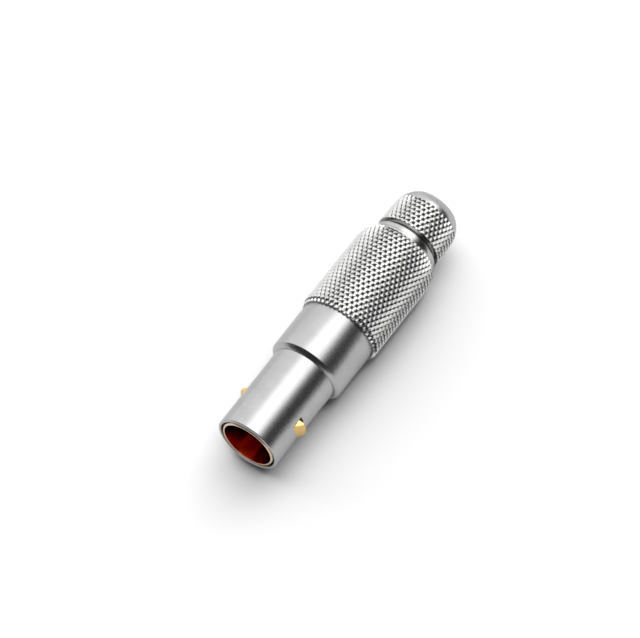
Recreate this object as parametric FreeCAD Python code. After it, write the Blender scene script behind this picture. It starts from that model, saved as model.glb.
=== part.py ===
"""Triax cable plug: a push-pull circular plug with three concentric conductors.

Lengths are millimetres. While the pieces are drawn, X is the station along the plug,
0 at the mouth and growing towards the cable, and a radius is measured from the X axis.
At the end every piece is moved so that the plug lies on the ground plane, centred, with
its mouth towards -X and its two latches level, at +Y and -Y.
"""
import FreeCAD
import Part
import math
import os

# Clearances: a moving fit, a still one, and the free space at a stop
RUNNING_GAP = 0.05
SEAT_GAP = 0.02
STOP_GAP = 0.1

# Outside of the shell, from the mouth backwards: each step is a height over the one before
BARREL_LENGTH = 13.2
SHOULDER_HEIGHT = 0.6
BEVEL_LENGTH = 0.56
BEVEL_HEIGHT = 0.2
RING_LENGTH = 7.44
GRIP_HEIGHT = 0.51
GRIP_LENGTH = 14.8
GRIP_CROWN_LENGTH = 2.8
GRIP_CROWN_DROP = 0.7

# Diamond knurl, on the grip and on the nut
KNURL_PITCH = 0.785
KNURL_ROW = 0.6435
KNURL_DEPTH = 0.24

# Inside of the shell, and how far it slides back to release the latches
BARREL_WALL = 0.41
CHAMBER_OFFSET = 2.64
GRIP_END_WALL = 0.5
SHELL_TRAVEL = 1.0
MOUTH_BEVEL = 0.12

# Latch sleeve: a wide mouth for the receptacle, a narrower bore behind it, and a seat for the body
SLEEVE_GAP = 0.28
SLEEVE_WALL = 0.29
SLEEVE_STEP = 0.16
SEAT_STEP = 0.14
SEAT_OFFSET = 0.5

# Latch fingers, each a leaf with a wedge-shaped tip that stands out of a window
FINGER_WIDTH = 4.0
FINGER_ROOT_OFFSET = 2.2
TIP_STATION = 4.45
TIP_LIFT = 0.02
TIP_HEIGHT = 0.61
TIP_RAMP_LENGTH = 1.5
TIP_CREST_LENGTH = 0.35
TIP_CREST_DROP = 0.12
FINGER_SIDE_GAP = 0.12
FINGER_END_GAP = 0.15
WINDOW_FRONT_GAP = 0.1
WINDOW_BACK_GAP = 0.25

# Inner body, which carries the insulators in front and the cable clamp behind
SPIGOT_WALL = 0.63
SPIGOT_LENGTH = 3.0
FLANGE_LENGTH = 1.2
BODY_WALL = 0.6
NECK_LENGTH = 4.8
NECK_SHOWN = 1.2
RELIEF_LENGTH = 0.2
RELIEF_DEPTH = 0.45
THREAD_WALL = 0.7
THREAD_LENGTH = 3.6

# Inner screen contact and the insulator round it
SCREEN_STATION = 4.5
SCREEN_WALL = 0.42
SCREEN_SLOT_LENGTH = 4.0
SCREEN_SLOT_WIDTH = 0.3
SCREEN_FLANGE_HEIGHT = 0.45
SCREEN_FLANGE_LENGTH = 0.6
SCREEN_TAIL_LENGTH = 3.5
FRONT_INSULATOR_WALL = 0.78
FRONT_INSULATOR_TAIL = 3.4

# Centre contact, its two small insulators and the ring that locks them
PIN_STATION = 5.2
PIN_RADIUS = 0.65
PIN_SHOULDER_OFFSET = 0.9
PIN_SHOULDER_LENGTH = 0.8
PIN_TAIL_LENGTH = 0.8
CUP_STEP = 0.2
CUP_WALL = 0.3
CUP_BORE_DEPTH = 3.0
PIN_INSULATOR_WALL = 1.18
PIN_INSULATOR_FRONT_LENGTH = 4.2
PIN_INSULATOR_REAR_LENGTH = 4.5
LOCK_RING_LENGTH = 1.2

# Cable clamp, from the collet forwards to the earthing cone
COLLET_WALL = 0.65
COLLET_BODY_LENGTH = 4.83
COLLET_HEAD_DROP = 0.15
COLLET_HEAD_LENGTH = 0.25
COLLET_CONE_LENGTH = 1.15
COLLET_TIP_WALL = 0.35
COLLET_SLOT_WIDTH = 0.5
COLLET_SLOT_LENGTH = 4.0
WASHER_LENGTH = 0.4
GASKET_LENGTH = 1.3
WASHER_STEP = 0.2
CLAMP_RING_LENGTH = 1.4
CLAMP_RING_WALL = 0.28
CONE_STEP = 0.2
CONE_FLANGE_LENGTH = 0.7
CONE_LENGTH = 3.4
CONE_FRONT_WALL = 0.6
CONE_TIP_WALL = 0.3
FERRULE_LENGTH = 5.0
FERRULE_WALL = 0.26

# Collet nut
NUT_GAP = 0.5
NUT_WALL = 0.91
NUT_KNURL_LENGTH = 4.4
NUT_KNURL_DEPTH = 0.24
NUT_CROWN_DROP = 0.18
NUT_CONE_LENGTH = 1.9
NUT_END_WALL = 0.8
NUT_END_BEVEL = 0.12
CABLE_HOLE_STEP = 0.25
CABLE_HOLE_LENGTH = 1.6

# Radii, from the pin outwards to the grip: each piece is a wall round the one inside it
PIN_INSULATOR_BORE_RADIUS = PIN_RADIUS + SEAT_GAP
SCREEN_INSERT_RADIUS = PIN_INSULATOR_BORE_RADIUS + PIN_INSULATOR_WALL
SCREEN_BORE_RADIUS = SCREEN_INSERT_RADIUS + RUNNING_GAP
SCREEN_RADIUS = SCREEN_BORE_RADIUS + SCREEN_WALL
INSERT_RADIUS = SCREEN_RADIUS + RUNNING_GAP + FRONT_INSULATOR_WALL
BODY_BORE_RADIUS = INSERT_RADIUS + RUNNING_GAP
SPIGOT_RADIUS = BODY_BORE_RADIUS + SPIGOT_WALL
SLEEVE_SEAT_RADIUS = SPIGOT_RADIUS + SEAT_GAP
MOUTH_RADIUS = SLEEVE_SEAT_RADIUS - SEAT_STEP
SLEEVE_BORE_RADIUS = MOUTH_RADIUS - SLEEVE_STEP
SLEEVE_RADIUS = MOUTH_RADIUS + SLEEVE_WALL
BARREL_BORE_RADIUS = SLEEVE_RADIUS + SLEEVE_GAP
BARREL_RADIUS = BARREL_BORE_RADIUS + BARREL_WALL
SHOULDER_RADIUS = BARREL_RADIUS + SHOULDER_HEIGHT
RING_RADIUS = SHOULDER_RADIUS + BEVEL_HEIGHT
GRIP_RADIUS = RING_RADIUS + GRIP_HEIGHT
GRIP_END_RADIUS = GRIP_RADIUS - GRIP_CROWN_DROP
CHAMBER_RADIUS = GRIP_END_RADIUS - GRIP_END_WALL
GRIP_CORE_RADIUS = (CHAMBER_RADIUS + GRIP_END_RADIUS - KNURL_DEPTH) / 2

# Radii inside the screen contact, and from the body's bore to the cable and the nut
PIN_SHOULDER_RADIUS = (PIN_RADIUS + SCREEN_INSERT_RADIUS) / 2
CUP_RADIUS = PIN_RADIUS + CUP_STEP
LOCK_RING_BORE_RADIUS = (CUP_RADIUS + SCREEN_INSERT_RADIUS) / 2
FERRULE_RADIUS = SCREEN_RADIUS + RUNNING_GAP + FERRULE_WALL
THREAD_RADIUS = BODY_BORE_RADIUS + THREAD_WALL
CABLE_RADIUS = INSERT_RADIUS - COLLET_WALL
CONE_BORE_RADIUS = CABLE_RADIUS - CONE_STEP
COLLET_HEAD_RADIUS = THREAD_RADIUS - COLLET_HEAD_DROP
COLLET_TIP_RADIUS = CABLE_RADIUS + COLLET_TIP_WALL
CABLE_HOLE_RADIUS = CABLE_RADIUS + CABLE_HOLE_STEP
NUT_RADIUS = THREAD_RADIUS + RUNNING_GAP + NUT_WALL
NUT_KNURL_END_RADIUS = NUT_RADIUS - NUT_CROWN_DROP
NUT_END_RADIUS = CABLE_HOLE_RADIUS + NUT_END_WALL

# Stations, from the mouth backwards
RING_STATION = BARREL_LENGTH + BEVEL_LENGTH
GRIP_STATION = RING_STATION + RING_LENGTH
GRIP_END_STATION = GRIP_STATION + GRIP_LENGTH
CHAMBER_STATION = RING_STATION + CHAMBER_OFFSET
FINGER_ROOT_STATION = BARREL_LENGTH - FINGER_ROOT_OFFSET
SLEEVE_SEAT_STATION = FINGER_ROOT_STATION + SEAT_OFFSET
FLANGE_STATION = CHAMBER_STATION + SHELL_TRAVEL + STOP_GAP
FLANGE_END_STATION = FLANGE_STATION + FLANGE_LENGTH
SPIGOT_STATION = FLANGE_STATION - SPIGOT_LENGTH
SCREEN_FLANGE_STATION = SPIGOT_STATION + FRONT_INSULATOR_TAIL
SCREEN_FLANGE_END_STATION = SCREEN_FLANGE_STATION + SCREEN_FLANGE_LENGTH
SCREEN_END_STATION = SCREEN_FLANGE_END_STATION + SCREEN_TAIL_LENGTH
PIN_SHOULDER_STATION = SPIGOT_STATION - PIN_SHOULDER_OFFSET
PIN_SHOULDER_END_STATION = PIN_SHOULDER_STATION + PIN_SHOULDER_LENGTH
PIN_END_STATION = SCREEN_END_STATION + PIN_TAIL_LENGTH
NECK_END_STATION = GRIP_END_STATION + NECK_SHOWN
RELIEF_END_STATION = NECK_END_STATION + RELIEF_LENGTH
THREAD_END_STATION = RELIEF_END_STATION + THREAD_LENGTH
NUT_STATION = RELIEF_END_STATION + NUT_GAP
NUT_CONE_STATION = NUT_STATION + NUT_KNURL_LENGTH
PLUG_LENGTH = NUT_CONE_STATION + NUT_CONE_LENGTH
COLLET_HEAD_STATION = THREAD_END_STATION + RUNNING_GAP
COLLET_STATION = COLLET_HEAD_STATION - COLLET_BODY_LENGTH
REAR_WASHER_STATION = COLLET_STATION - SEAT_GAP - WASHER_LENGTH
GASKET_STATION = REAR_WASHER_STATION - SEAT_GAP - GASKET_LENGTH
FRONT_WASHER_STATION = GASKET_STATION - SEAT_GAP - WASHER_LENGTH
CLAMP_RING_STATION = FRONT_WASHER_STATION - SEAT_GAP - CLAMP_RING_LENGTH
CONE_STATION = CLAMP_RING_STATION + CLAMP_RING_LENGTH - STOP_GAP - CONE_LENGTH
REAR_INSULATOR_STATION = SCREEN_FLANGE_END_STATION + SEAT_GAP

ORIGIN = FreeCAD.Vector(0, 0, 0)
AXIS = FreeCAD.Vector(1, 0, 0)
EPSILON = 0.0001


def point(station, radius):
    """A point of a turned outline, in the XY plane."""
    return FreeCAD.Vector(station, radius, 0)


def turned(outline):
    """A solid of revolution about the plug's axis from (station, radius) corners."""
    corners = [point(station, radius) for station, radius in outline]
    return Part.Face(Part.makePolygon(corners + corners[:1])).revolve(ORIGIN, AXIS, 360)


def tube(start, length, inner, outer):
    """A plain ring or sleeve that starts at a station."""
    end = start + length
    return turned([(start, inner), (end, inner), (end, outer), (start, outer)])


def slab(start, end, width, reach):
    """A block right across the plug, level with the latches, to cut windows and slots."""
    corner = FreeCAD.Vector(start, -reach, -width / 2)
    return Part.makeBox(end - start, 2 * reach, width, corner)


def cross(start, end, width, reach):
    """Two slabs at right angles, which cut four slots into a tube."""
    level = slab(start, end, width, reach)
    upright = level.copy()
    upright.rotate(ORIGIN, AXIS, 90)
    return level.fuse(upright)


def crown(station, start, length, radius, end_radius):
    """The radius of an outline that is straight up to start, then rounds down like an ellipse."""
    share = min(1.0, max(0.0, (station - start) / length))
    return radius - (radius - end_radius) * (1 - math.sqrt(1 - share * share))


def grip_crest(station):
    """The radius over the knurl of the grip."""
    start = GRIP_END_STATION - GRIP_CROWN_LENGTH
    return crown(station, start, GRIP_CROWN_LENGTH, GRIP_RADIUS, GRIP_END_RADIUS)


def grip_floor(station):
    """The radius of the groove crossings of the grip."""
    return grip_crest(station) - KNURL_DEPTH


def nut_crest(station):
    """The radius over the knurl of the nut."""
    return crown(station, NUT_STATION, NUT_KNURL_LENGTH, NUT_RADIUS, NUT_KNURL_END_RADIUS)


def nut_floor(station):
    """The radius of the groove crossings of the nut."""
    return nut_crest(station) - NUT_KNURL_DEPTH


def knurl_points(radius):
    """How many crests and groove crossings, taken together, go round a knurl."""
    return 2 * round(2 * math.pi * radius / KNURL_PITCH)


def triangle(first, second, third):
    """A flat three-sided face."""
    return Part.Face(Part.makePolygon([first, second, third, first]))


def end_ring(corners, radius):
    """The flat faces between a closed polygon of points and the round core inside it."""
    rim = Part.Face(Part.makePolygon(corners + corners[:1]))
    core = Part.makeCircle(radius, FreeCAD.Vector(corners[0].x, 0, 0), AXIS)
    return rim.cut(Part.Face(Part.Wire(core))).Faces


def knurled_band(start, end, crest, floor, core):
    """A band of raised diamonds round a core of the given radius.

    Two sets of helical grooves cross each other and leave four-sided pyramids. Each row of
    points round the band alternates crests and groove crossings, the next row is shifted by
    one point, and each cell between four points is folded along the groove that crosses it.
    crest and floor give the two radii at a station. Straight down lies midway between two
    points, so the band rests on a flat.
    """
    rows = max(2, round((end - start) / KNURL_ROW))
    count = knurl_points(crest(start))
    grid = []
    for row in range(rows + 1):
        station = start + (end - start) * row / rows
        ring = []
        for place in range(count):
            angle = 2 * math.pi * (place + 0.5) / count
            radius = crest(station) if (row + place) % 2 == 0 else floor(station)
            ring.append(FreeCAD.Vector(station, radius * math.sin(angle), -radius * math.cos(angle)))
        grid.append(ring)
    faces = end_ring(grid[0], core) + end_ring(grid[-1], core)
    for row in range(rows):
        for place in range(count):
            beside = (place + 1) % count
            near, near_beside = grid[row][place], grid[row][beside]
            far, far_beside = grid[row + 1][place], grid[row + 1][beside]
            if (row + place) % 2 == 0:
                faces += [triangle(near, near_beside, far), triangle(near_beside, far_beside, far)]
            else:
                faces += [triangle(near, near_beside, far_beside), triangle(near, far_beside, far)]
    wall = Part.makeCylinder(core, end - start, point(start, 0), AXIS)
    faces += [face for face in wall.Faces if face.Surface.TypeId == "Part::GeomCylinder"]
    skin = Part.Compound(faces)
    skin.sewShape(EPSILON)
    return Part.Solid(skin.Shells[0])


def outer_shell():
    """The one-piece shell: barrel with two latch windows, smooth ring and knurled grip."""
    body = turned([
        (0, BARREL_BORE_RADIUS), (0, BARREL_RADIUS - MOUTH_BEVEL), (MOUTH_BEVEL, BARREL_RADIUS),
        (BARREL_LENGTH, BARREL_RADIUS), (BARREL_LENGTH, SHOULDER_RADIUS), (RING_STATION, RING_RADIUS),
        (GRIP_STATION, RING_RADIUS), (GRIP_STATION, GRIP_CORE_RADIUS),
        (GRIP_END_STATION, GRIP_CORE_RADIUS), (GRIP_END_STATION, CHAMBER_RADIUS),
        (CHAMBER_STATION, CHAMBER_RADIUS), (CHAMBER_STATION, BARREL_BORE_RADIUS),
    ])
    tip_end = TIP_STATION + TIP_RAMP_LENGTH + TIP_CREST_LENGTH
    window = slab(TIP_STATION - WINDOW_FRONT_GAP, tip_end + WINDOW_BACK_GAP,
                  FINGER_WIDTH + 2 * FINGER_SIDE_GAP, RING_RADIUS)
    band = knurled_band(GRIP_STATION, GRIP_END_STATION, grip_crest, grip_floor, GRIP_CORE_RADIUS)
    return body.cut(window).fuse(band)


def latch_sleeve():
    """The thin sleeve inside the barrel, with a pocket for each finger and a guide collar."""
    collar_radius = BARREL_BORE_RADIUS - RUNNING_GAP
    collar_station = SLEEVE_SEAT_STATION - STOP_GAP
    pocket_station = TIP_STATION - FINGER_END_GAP
    end = FLANGE_STATION - SEAT_GAP
    sleeve = turned([
        (0, MOUTH_RADIUS), (0, SLEEVE_RADIUS - MOUTH_BEVEL), (MOUTH_BEVEL, SLEEVE_RADIUS),
        (collar_station, SLEEVE_RADIUS), (collar_station, collar_radius), (end, collar_radius),
        (end, SLEEVE_SEAT_RADIUS), (SLEEVE_SEAT_STATION, SLEEVE_SEAT_RADIUS),
        (SLEEVE_SEAT_STATION, SLEEVE_BORE_RADIUS), (pocket_station, SLEEVE_BORE_RADIUS),
        (pocket_station, MOUTH_RADIUS),
    ])
    pocket = slab(pocket_station, FINGER_ROOT_STATION + FINGER_END_GAP,
                  FINGER_WIDTH + 2 * FINGER_SIDE_GAP, BARREL_RADIUS)
    return sleeve.cut(pocket)


def latch_finger(side):
    """One leaf of the latch: side is 1 for the finger at +Y and -1 for the one at -Y."""
    peak = TIP_STATION + TIP_RAMP_LENGTH
    back = peak + TIP_CREST_LENGTH
    peak_radius = BARREL_RADIUS + TIP_HEIGHT
    leaf = turned([
        (TIP_STATION, SLEEVE_BORE_RADIUS), (TIP_STATION, BARREL_BORE_RADIUS + TIP_LIFT),
        (peak, peak_radius), (back, peak_radius - TIP_CREST_DROP), (back, SLEEVE_RADIUS),
        (FINGER_ROOT_STATION, SLEEVE_RADIUS), (FINGER_ROOT_STATION, SLEEVE_BORE_RADIUS),
    ])
    strip = Part.makeBox(FINGER_ROOT_STATION - TIP_STATION, RING_RADIUS, FINGER_WIDTH,
                         FreeCAD.Vector(TIP_STATION, 0, -FINGER_WIDTH / 2))
    finger = leaf.common(strip)
    if side < 0:
        finger.rotate(ORIGIN, AXIS, 180)
    return finger


def inner_body():
    """The long body that joins the sleeve to the nut: spigot, stop flange, waist, neck, thread."""
    flange = CHAMBER_RADIUS - STOP_GAP
    waist = BODY_BORE_RADIUS + BODY_WALL
    neck = CHAMBER_RADIUS - RUNNING_GAP
    relief = neck - RELIEF_DEPTH
    neck_station = NECK_END_STATION - NECK_LENGTH
    return turned([
        (SPIGOT_STATION, BODY_BORE_RADIUS), (SPIGOT_STATION, SPIGOT_RADIUS),
        (FLANGE_STATION, SPIGOT_RADIUS), (FLANGE_STATION, flange), (FLANGE_END_STATION, flange),
        (FLANGE_END_STATION, waist), (neck_station, waist), (neck_station, neck),
        (NECK_END_STATION, neck), (NECK_END_STATION, relief), (RELIEF_END_STATION, relief),
        (RELIEF_END_STATION, THREAD_RADIUS), (THREAD_END_STATION, THREAD_RADIUS),
        (THREAD_END_STATION, BODY_BORE_RADIUS),
    ])


def front_insulator():
    """The stepped ring that centres the inner screen contact, held between sleeve and body."""
    start = SLEEVE_SEAT_STATION + SEAT_GAP
    step = SPIGOT_STATION - SEAT_GAP
    end = SCREEN_FLANGE_STATION - SEAT_GAP
    bore = SCREEN_RADIUS + RUNNING_GAP
    flange = SLEEVE_SEAT_RADIUS - RUNNING_GAP
    return turned([
        (start, bore), (start, flange), (step, flange), (step, INSERT_RADIUS),
        (end, INSERT_RADIUS), (end, bore),
    ])


def inner_screen_contact():
    """The middle conductor: a tube with four spring slots in front and a locating flange."""
    flange = SCREEN_RADIUS + SCREEN_FLANGE_HEIGHT
    contact = turned([
        (SCREEN_STATION, SCREEN_BORE_RADIUS), (SCREEN_STATION, SCREEN_RADIUS),
        (SCREEN_FLANGE_STATION, SCREEN_RADIUS), (SCREEN_FLANGE_STATION, flange),
        (SCREEN_FLANGE_END_STATION, flange), (SCREEN_FLANGE_END_STATION, SCREEN_RADIUS),
        (SCREEN_END_STATION, SCREEN_RADIUS), (SCREEN_END_STATION, SCREEN_BORE_RADIUS),
    ])
    slots = cross(SCREEN_STATION, SCREEN_STATION + SCREEN_SLOT_LENGTH, SCREEN_SLOT_WIDTH, flange)
    return contact.cut(slots)


def centre_contact():
    """The pin: bevelled nose in front, with a shoulder and a hollow solder cup behind."""
    cup_bore = CUP_RADIUS - CUP_WALL
    cup_floor = PIN_END_STATION - CUP_BORE_DEPTH
    return turned([
        (PIN_STATION, 0), (PIN_STATION, PIN_RADIUS / 2), (PIN_STATION + PIN_RADIUS / 2, PIN_RADIUS),
        (PIN_SHOULDER_STATION, PIN_RADIUS), (PIN_SHOULDER_STATION, PIN_SHOULDER_RADIUS),
        (PIN_SHOULDER_END_STATION, PIN_SHOULDER_RADIUS), (PIN_SHOULDER_END_STATION, CUP_RADIUS),
        (PIN_END_STATION, CUP_RADIUS), (PIN_END_STATION, cup_bore), (cup_floor, cup_bore), (cup_floor, 0),
    ])


def pin_insulator_front():
    """The small insulator ahead of the pin's shoulder."""
    start = PIN_SHOULDER_STATION - SEAT_GAP - PIN_INSULATOR_FRONT_LENGTH
    return tube(start, PIN_INSULATOR_FRONT_LENGTH, PIN_INSULATOR_BORE_RADIUS, SCREEN_INSERT_RADIUS)


def pin_insulator_rear():
    """The small insulator behind the pin's shoulder."""
    return tube(PIN_SHOULDER_END_STATION + SEAT_GAP, PIN_INSULATOR_REAR_LENGTH,
                CUP_RADIUS + SEAT_GAP, SCREEN_INSERT_RADIUS)


def insulator_lock_ring():
    """The threaded ring that locks the small insulators in the inner screen contact."""
    start = PIN_SHOULDER_END_STATION + SEAT_GAP + PIN_INSULATOR_REAR_LENGTH + SEAT_GAP
    return tube(start, LOCK_RING_LENGTH, LOCK_RING_BORE_RADIUS, SCREEN_INSERT_RADIUS)


def screen_crimp_ferrule():
    """The ferrule that is crimped over the inner braid, on the tail of the screen contact."""
    return tube(REAR_INSULATOR_STATION + STOP_GAP, FERRULE_LENGTH,
                SCREEN_RADIUS + RUNNING_GAP, FERRULE_RADIUS)


def rear_insulator():
    """The thin tube that keeps the inner screen clear of the body, from its flange to the cone."""
    length = CONE_STATION - SEAT_GAP - REAR_INSULATOR_STATION
    return tube(REAR_INSULATOR_STATION, length, FERRULE_RADIUS + RUNNING_GAP, INSERT_RADIUS)


def earthing_cone():
    """The flanged cone that the outer braid is folded over."""
    step = CONE_STATION + CONE_FLANGE_LENGTH
    end = CONE_STATION + CONE_LENGTH
    return turned([
        (CONE_STATION, CONE_BORE_RADIUS), (CONE_STATION, INSERT_RADIUS), (step, INSERT_RADIUS),
        (step, CONE_BORE_RADIUS + CONE_FRONT_WALL), (end, CONE_BORE_RADIUS + CONE_TIP_WALL),
        (end, CONE_BORE_RADIUS),
    ])


def braid_clamp_ring():
    """The ring that traps the outer braid on the earthing cone."""
    return tube(CLAMP_RING_STATION, CLAMP_RING_LENGTH, INSERT_RADIUS - CLAMP_RING_WALL, INSERT_RADIUS)


def jacket_ring(station, length):
    """A washer or gasket that is threaded over the cable's jacket."""
    return tube(station, length, CABLE_RADIUS + WASHER_STEP, INSERT_RADIUS)


def split_collet():
    """The slotted collet that grips the cable's jacket when the nut drives its cone inwards."""
    cone = COLLET_HEAD_STATION + COLLET_HEAD_LENGTH
    tip = cone + COLLET_CONE_LENGTH
    collet = turned([
        (COLLET_STATION, CABLE_RADIUS), (COLLET_STATION, INSERT_RADIUS),
        (COLLET_HEAD_STATION, INSERT_RADIUS), (COLLET_HEAD_STATION, COLLET_HEAD_RADIUS),
        (cone, COLLET_HEAD_RADIUS), (tip, COLLET_TIP_RADIUS), (tip, CABLE_RADIUS),
    ])
    return collet.cut(cross(tip - COLLET_SLOT_LENGTH, tip, COLLET_SLOT_WIDTH, THREAD_RADIUS))


def collet_nut():
    """The knurled nut: threaded bore, inner cone for the collet, and the cable hole."""
    bore = THREAD_RADIUS + RUNNING_GAP
    core = (bore + nut_floor(NUT_CONE_STATION)) / 2
    cone = COLLET_HEAD_STATION + COLLET_HEAD_LENGTH + STOP_GAP
    hole = PLUG_LENGTH - CABLE_HOLE_LENGTH
    body = turned([
        (NUT_STATION, bore), (NUT_STATION, core), (NUT_CONE_STATION, core),
        (NUT_CONE_STATION, NUT_KNURL_END_RADIUS), (PLUG_LENGTH - NUT_END_BEVEL, NUT_END_RADIUS),
        (PLUG_LENGTH, NUT_END_RADIUS - NUT_END_BEVEL), (PLUG_LENGTH, CABLE_HOLE_RADIUS),
        (hole, CABLE_HOLE_RADIUS), (hole, COLLET_TIP_RADIUS + STOP_GAP), (cone, bore),
    ])
    return body.fuse(knurled_band(NUT_STATION, NUT_CONE_STATION, nut_crest, nut_floor, core))


def pieces():
    """Every piece of the plug, by name, drawn along the X axis from the mouth."""
    return {
        "outer_shell": outer_shell(),
        "latch_sleeve": latch_sleeve(),
        "latch_finger_left": latch_finger(1),
        "latch_finger_right": latch_finger(-1),
        "inner_body": inner_body(),
        "front_insulator": front_insulator(),
        "inner_screen_contact": inner_screen_contact(),
        "centre_contact": centre_contact(),
        "pin_insulator_front": pin_insulator_front(),
        "pin_insulator_rear": pin_insulator_rear(),
        "insulator_lock_ring": insulator_lock_ring(),
        "rear_insulator": rear_insulator(),
        "screen_crimp_ferrule": screen_crimp_ferrule(),
        "earthing_cone": earthing_cone(),
        "braid_clamp_ring": braid_clamp_ring(),
        "thrust_washer_front": jacket_ring(FRONT_WASHER_STATION, WASHER_LENGTH),
        "cable_gasket": jacket_ring(GASKET_STATION, GASKET_LENGTH),
        "thrust_washer_rear": jacket_ring(REAR_WASHER_STATION, WASHER_LENGTH),
        "split_collet": split_collet(),
        "collet_nut": collet_nut(),
    }


def main():
    """Write each piece where it lies: on the ground, centred, with its axis level."""
    os.makedirs("parts", exist_ok=True)
    rest_height = GRIP_RADIUS * math.cos(math.pi / knurl_points(GRIP_RADIUS))
    lying = FreeCAD.Vector(-PLUG_LENGTH / 2, 0, rest_height)
    for name, solid in pieces().items():
        solid.translate(lying)
        solid.exportStep("parts/" + name + ".step")
        print(name, "valid" if solid.isValid() else "NOT VALID", len(solid.Solids), round(solid.Volume, 3))


main()
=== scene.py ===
"""Triax cable plug, lying on a pale floor under soft studio light.

Lengths in the dataclasses are millimetres, where their line doesn't say metres. A station is
measured along the plug from its mouth, and a radius from its axis, which runs along X at half
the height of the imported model.
"""

import logging
import math
from dataclasses import dataclass, field
from enum import Enum
from typing import Callable

import bpy
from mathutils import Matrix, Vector


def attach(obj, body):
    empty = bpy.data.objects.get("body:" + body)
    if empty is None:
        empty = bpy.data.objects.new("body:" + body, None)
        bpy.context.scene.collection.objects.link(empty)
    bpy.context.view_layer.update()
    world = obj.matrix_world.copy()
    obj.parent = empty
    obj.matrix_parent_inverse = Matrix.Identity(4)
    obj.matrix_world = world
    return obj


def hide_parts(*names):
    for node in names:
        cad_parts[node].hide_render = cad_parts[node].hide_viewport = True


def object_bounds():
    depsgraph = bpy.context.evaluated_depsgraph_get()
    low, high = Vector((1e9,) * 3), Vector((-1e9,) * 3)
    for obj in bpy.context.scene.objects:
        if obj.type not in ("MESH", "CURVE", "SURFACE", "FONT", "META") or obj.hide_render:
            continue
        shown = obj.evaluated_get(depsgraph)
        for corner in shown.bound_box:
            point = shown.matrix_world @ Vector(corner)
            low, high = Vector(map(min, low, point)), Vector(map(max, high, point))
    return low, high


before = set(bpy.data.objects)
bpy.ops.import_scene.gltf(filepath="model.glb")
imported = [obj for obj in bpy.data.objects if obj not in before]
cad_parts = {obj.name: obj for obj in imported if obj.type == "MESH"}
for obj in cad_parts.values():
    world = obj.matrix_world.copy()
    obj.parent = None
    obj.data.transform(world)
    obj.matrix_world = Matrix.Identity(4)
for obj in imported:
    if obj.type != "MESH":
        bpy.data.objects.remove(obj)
CAD_BOX = [list(corner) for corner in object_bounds()]
LOG = logging.getLogger("plug")

MM = 0.001
PLUG_LENGTH = round((CAD_BOX[1][0] - CAD_BOX[0][0]) / MM, 3)
AXIS_HEIGHT = CAD_BOX[1][2] / 2

# Facets round a turned piece, and steps across a softened edge.
ROUND_SEGMENTS = 128
EDGE_SEGMENTS = 2

# Edges sharper than the first are softened, and those sharper than the second stay crisp in the shading.
SHARP_ANGLE = math.radians(30)
SMOOTH_ANGLE = math.radians(32)

# Points nearer than the first are welded, and those within the second lie in one plane, in metres.
WELD = 1e-7
SAME_PLANE = 5 * WELD

# How far a cutting block reaches from the axis, past the widest piece.
TOOL_REACH = 7.0

# Numbers of the faces painted apart: painted shade on the pits and cut ends of a knurl and in the sleeve's
# bore, and a painted highlight on the sleeve's rim.
PIT_FACE = 1
END_FACE = 2
SHADED_BORE_FACE = 1
HIGHLIGHT_RIM_FACE = 2

# Limits for the share of a face's normal that lies along the axis: under the first for a pit of
# the knurl, over the second for a cut end, and to either side of the third on the sleeve.
PIT_LEAN = 0.5
END_LEAN = 0.99
SLEEVE_LEAN = 0.3

# Nearly all of a noise lies between these values.
NOISE_LOW = 0.3
NOISE_HIGH = 0.7
RING_OCTAVES = 2.0

# Places of the sockets of a Mix node that share a name.
NUMBER_A = 2
NUMBER_B = 3
NUMBER_OUT = 0
COLOUR_A = 6
COLOUR_B = 7
COLOUR_OUT = 2

Colour = tuple[float, float, float]
Point = tuple[float, float, float]
Corner = tuple[float, float]
Outline = tuple[Corner, ...]
Span = tuple[float, float]
FaceTest = Callable[[bpy.types.MeshPolygon], bool]
VertexTest = Callable[[bpy.types.MeshVertex], bool]
Feed = bpy.types.NodeSocket | float


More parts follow.
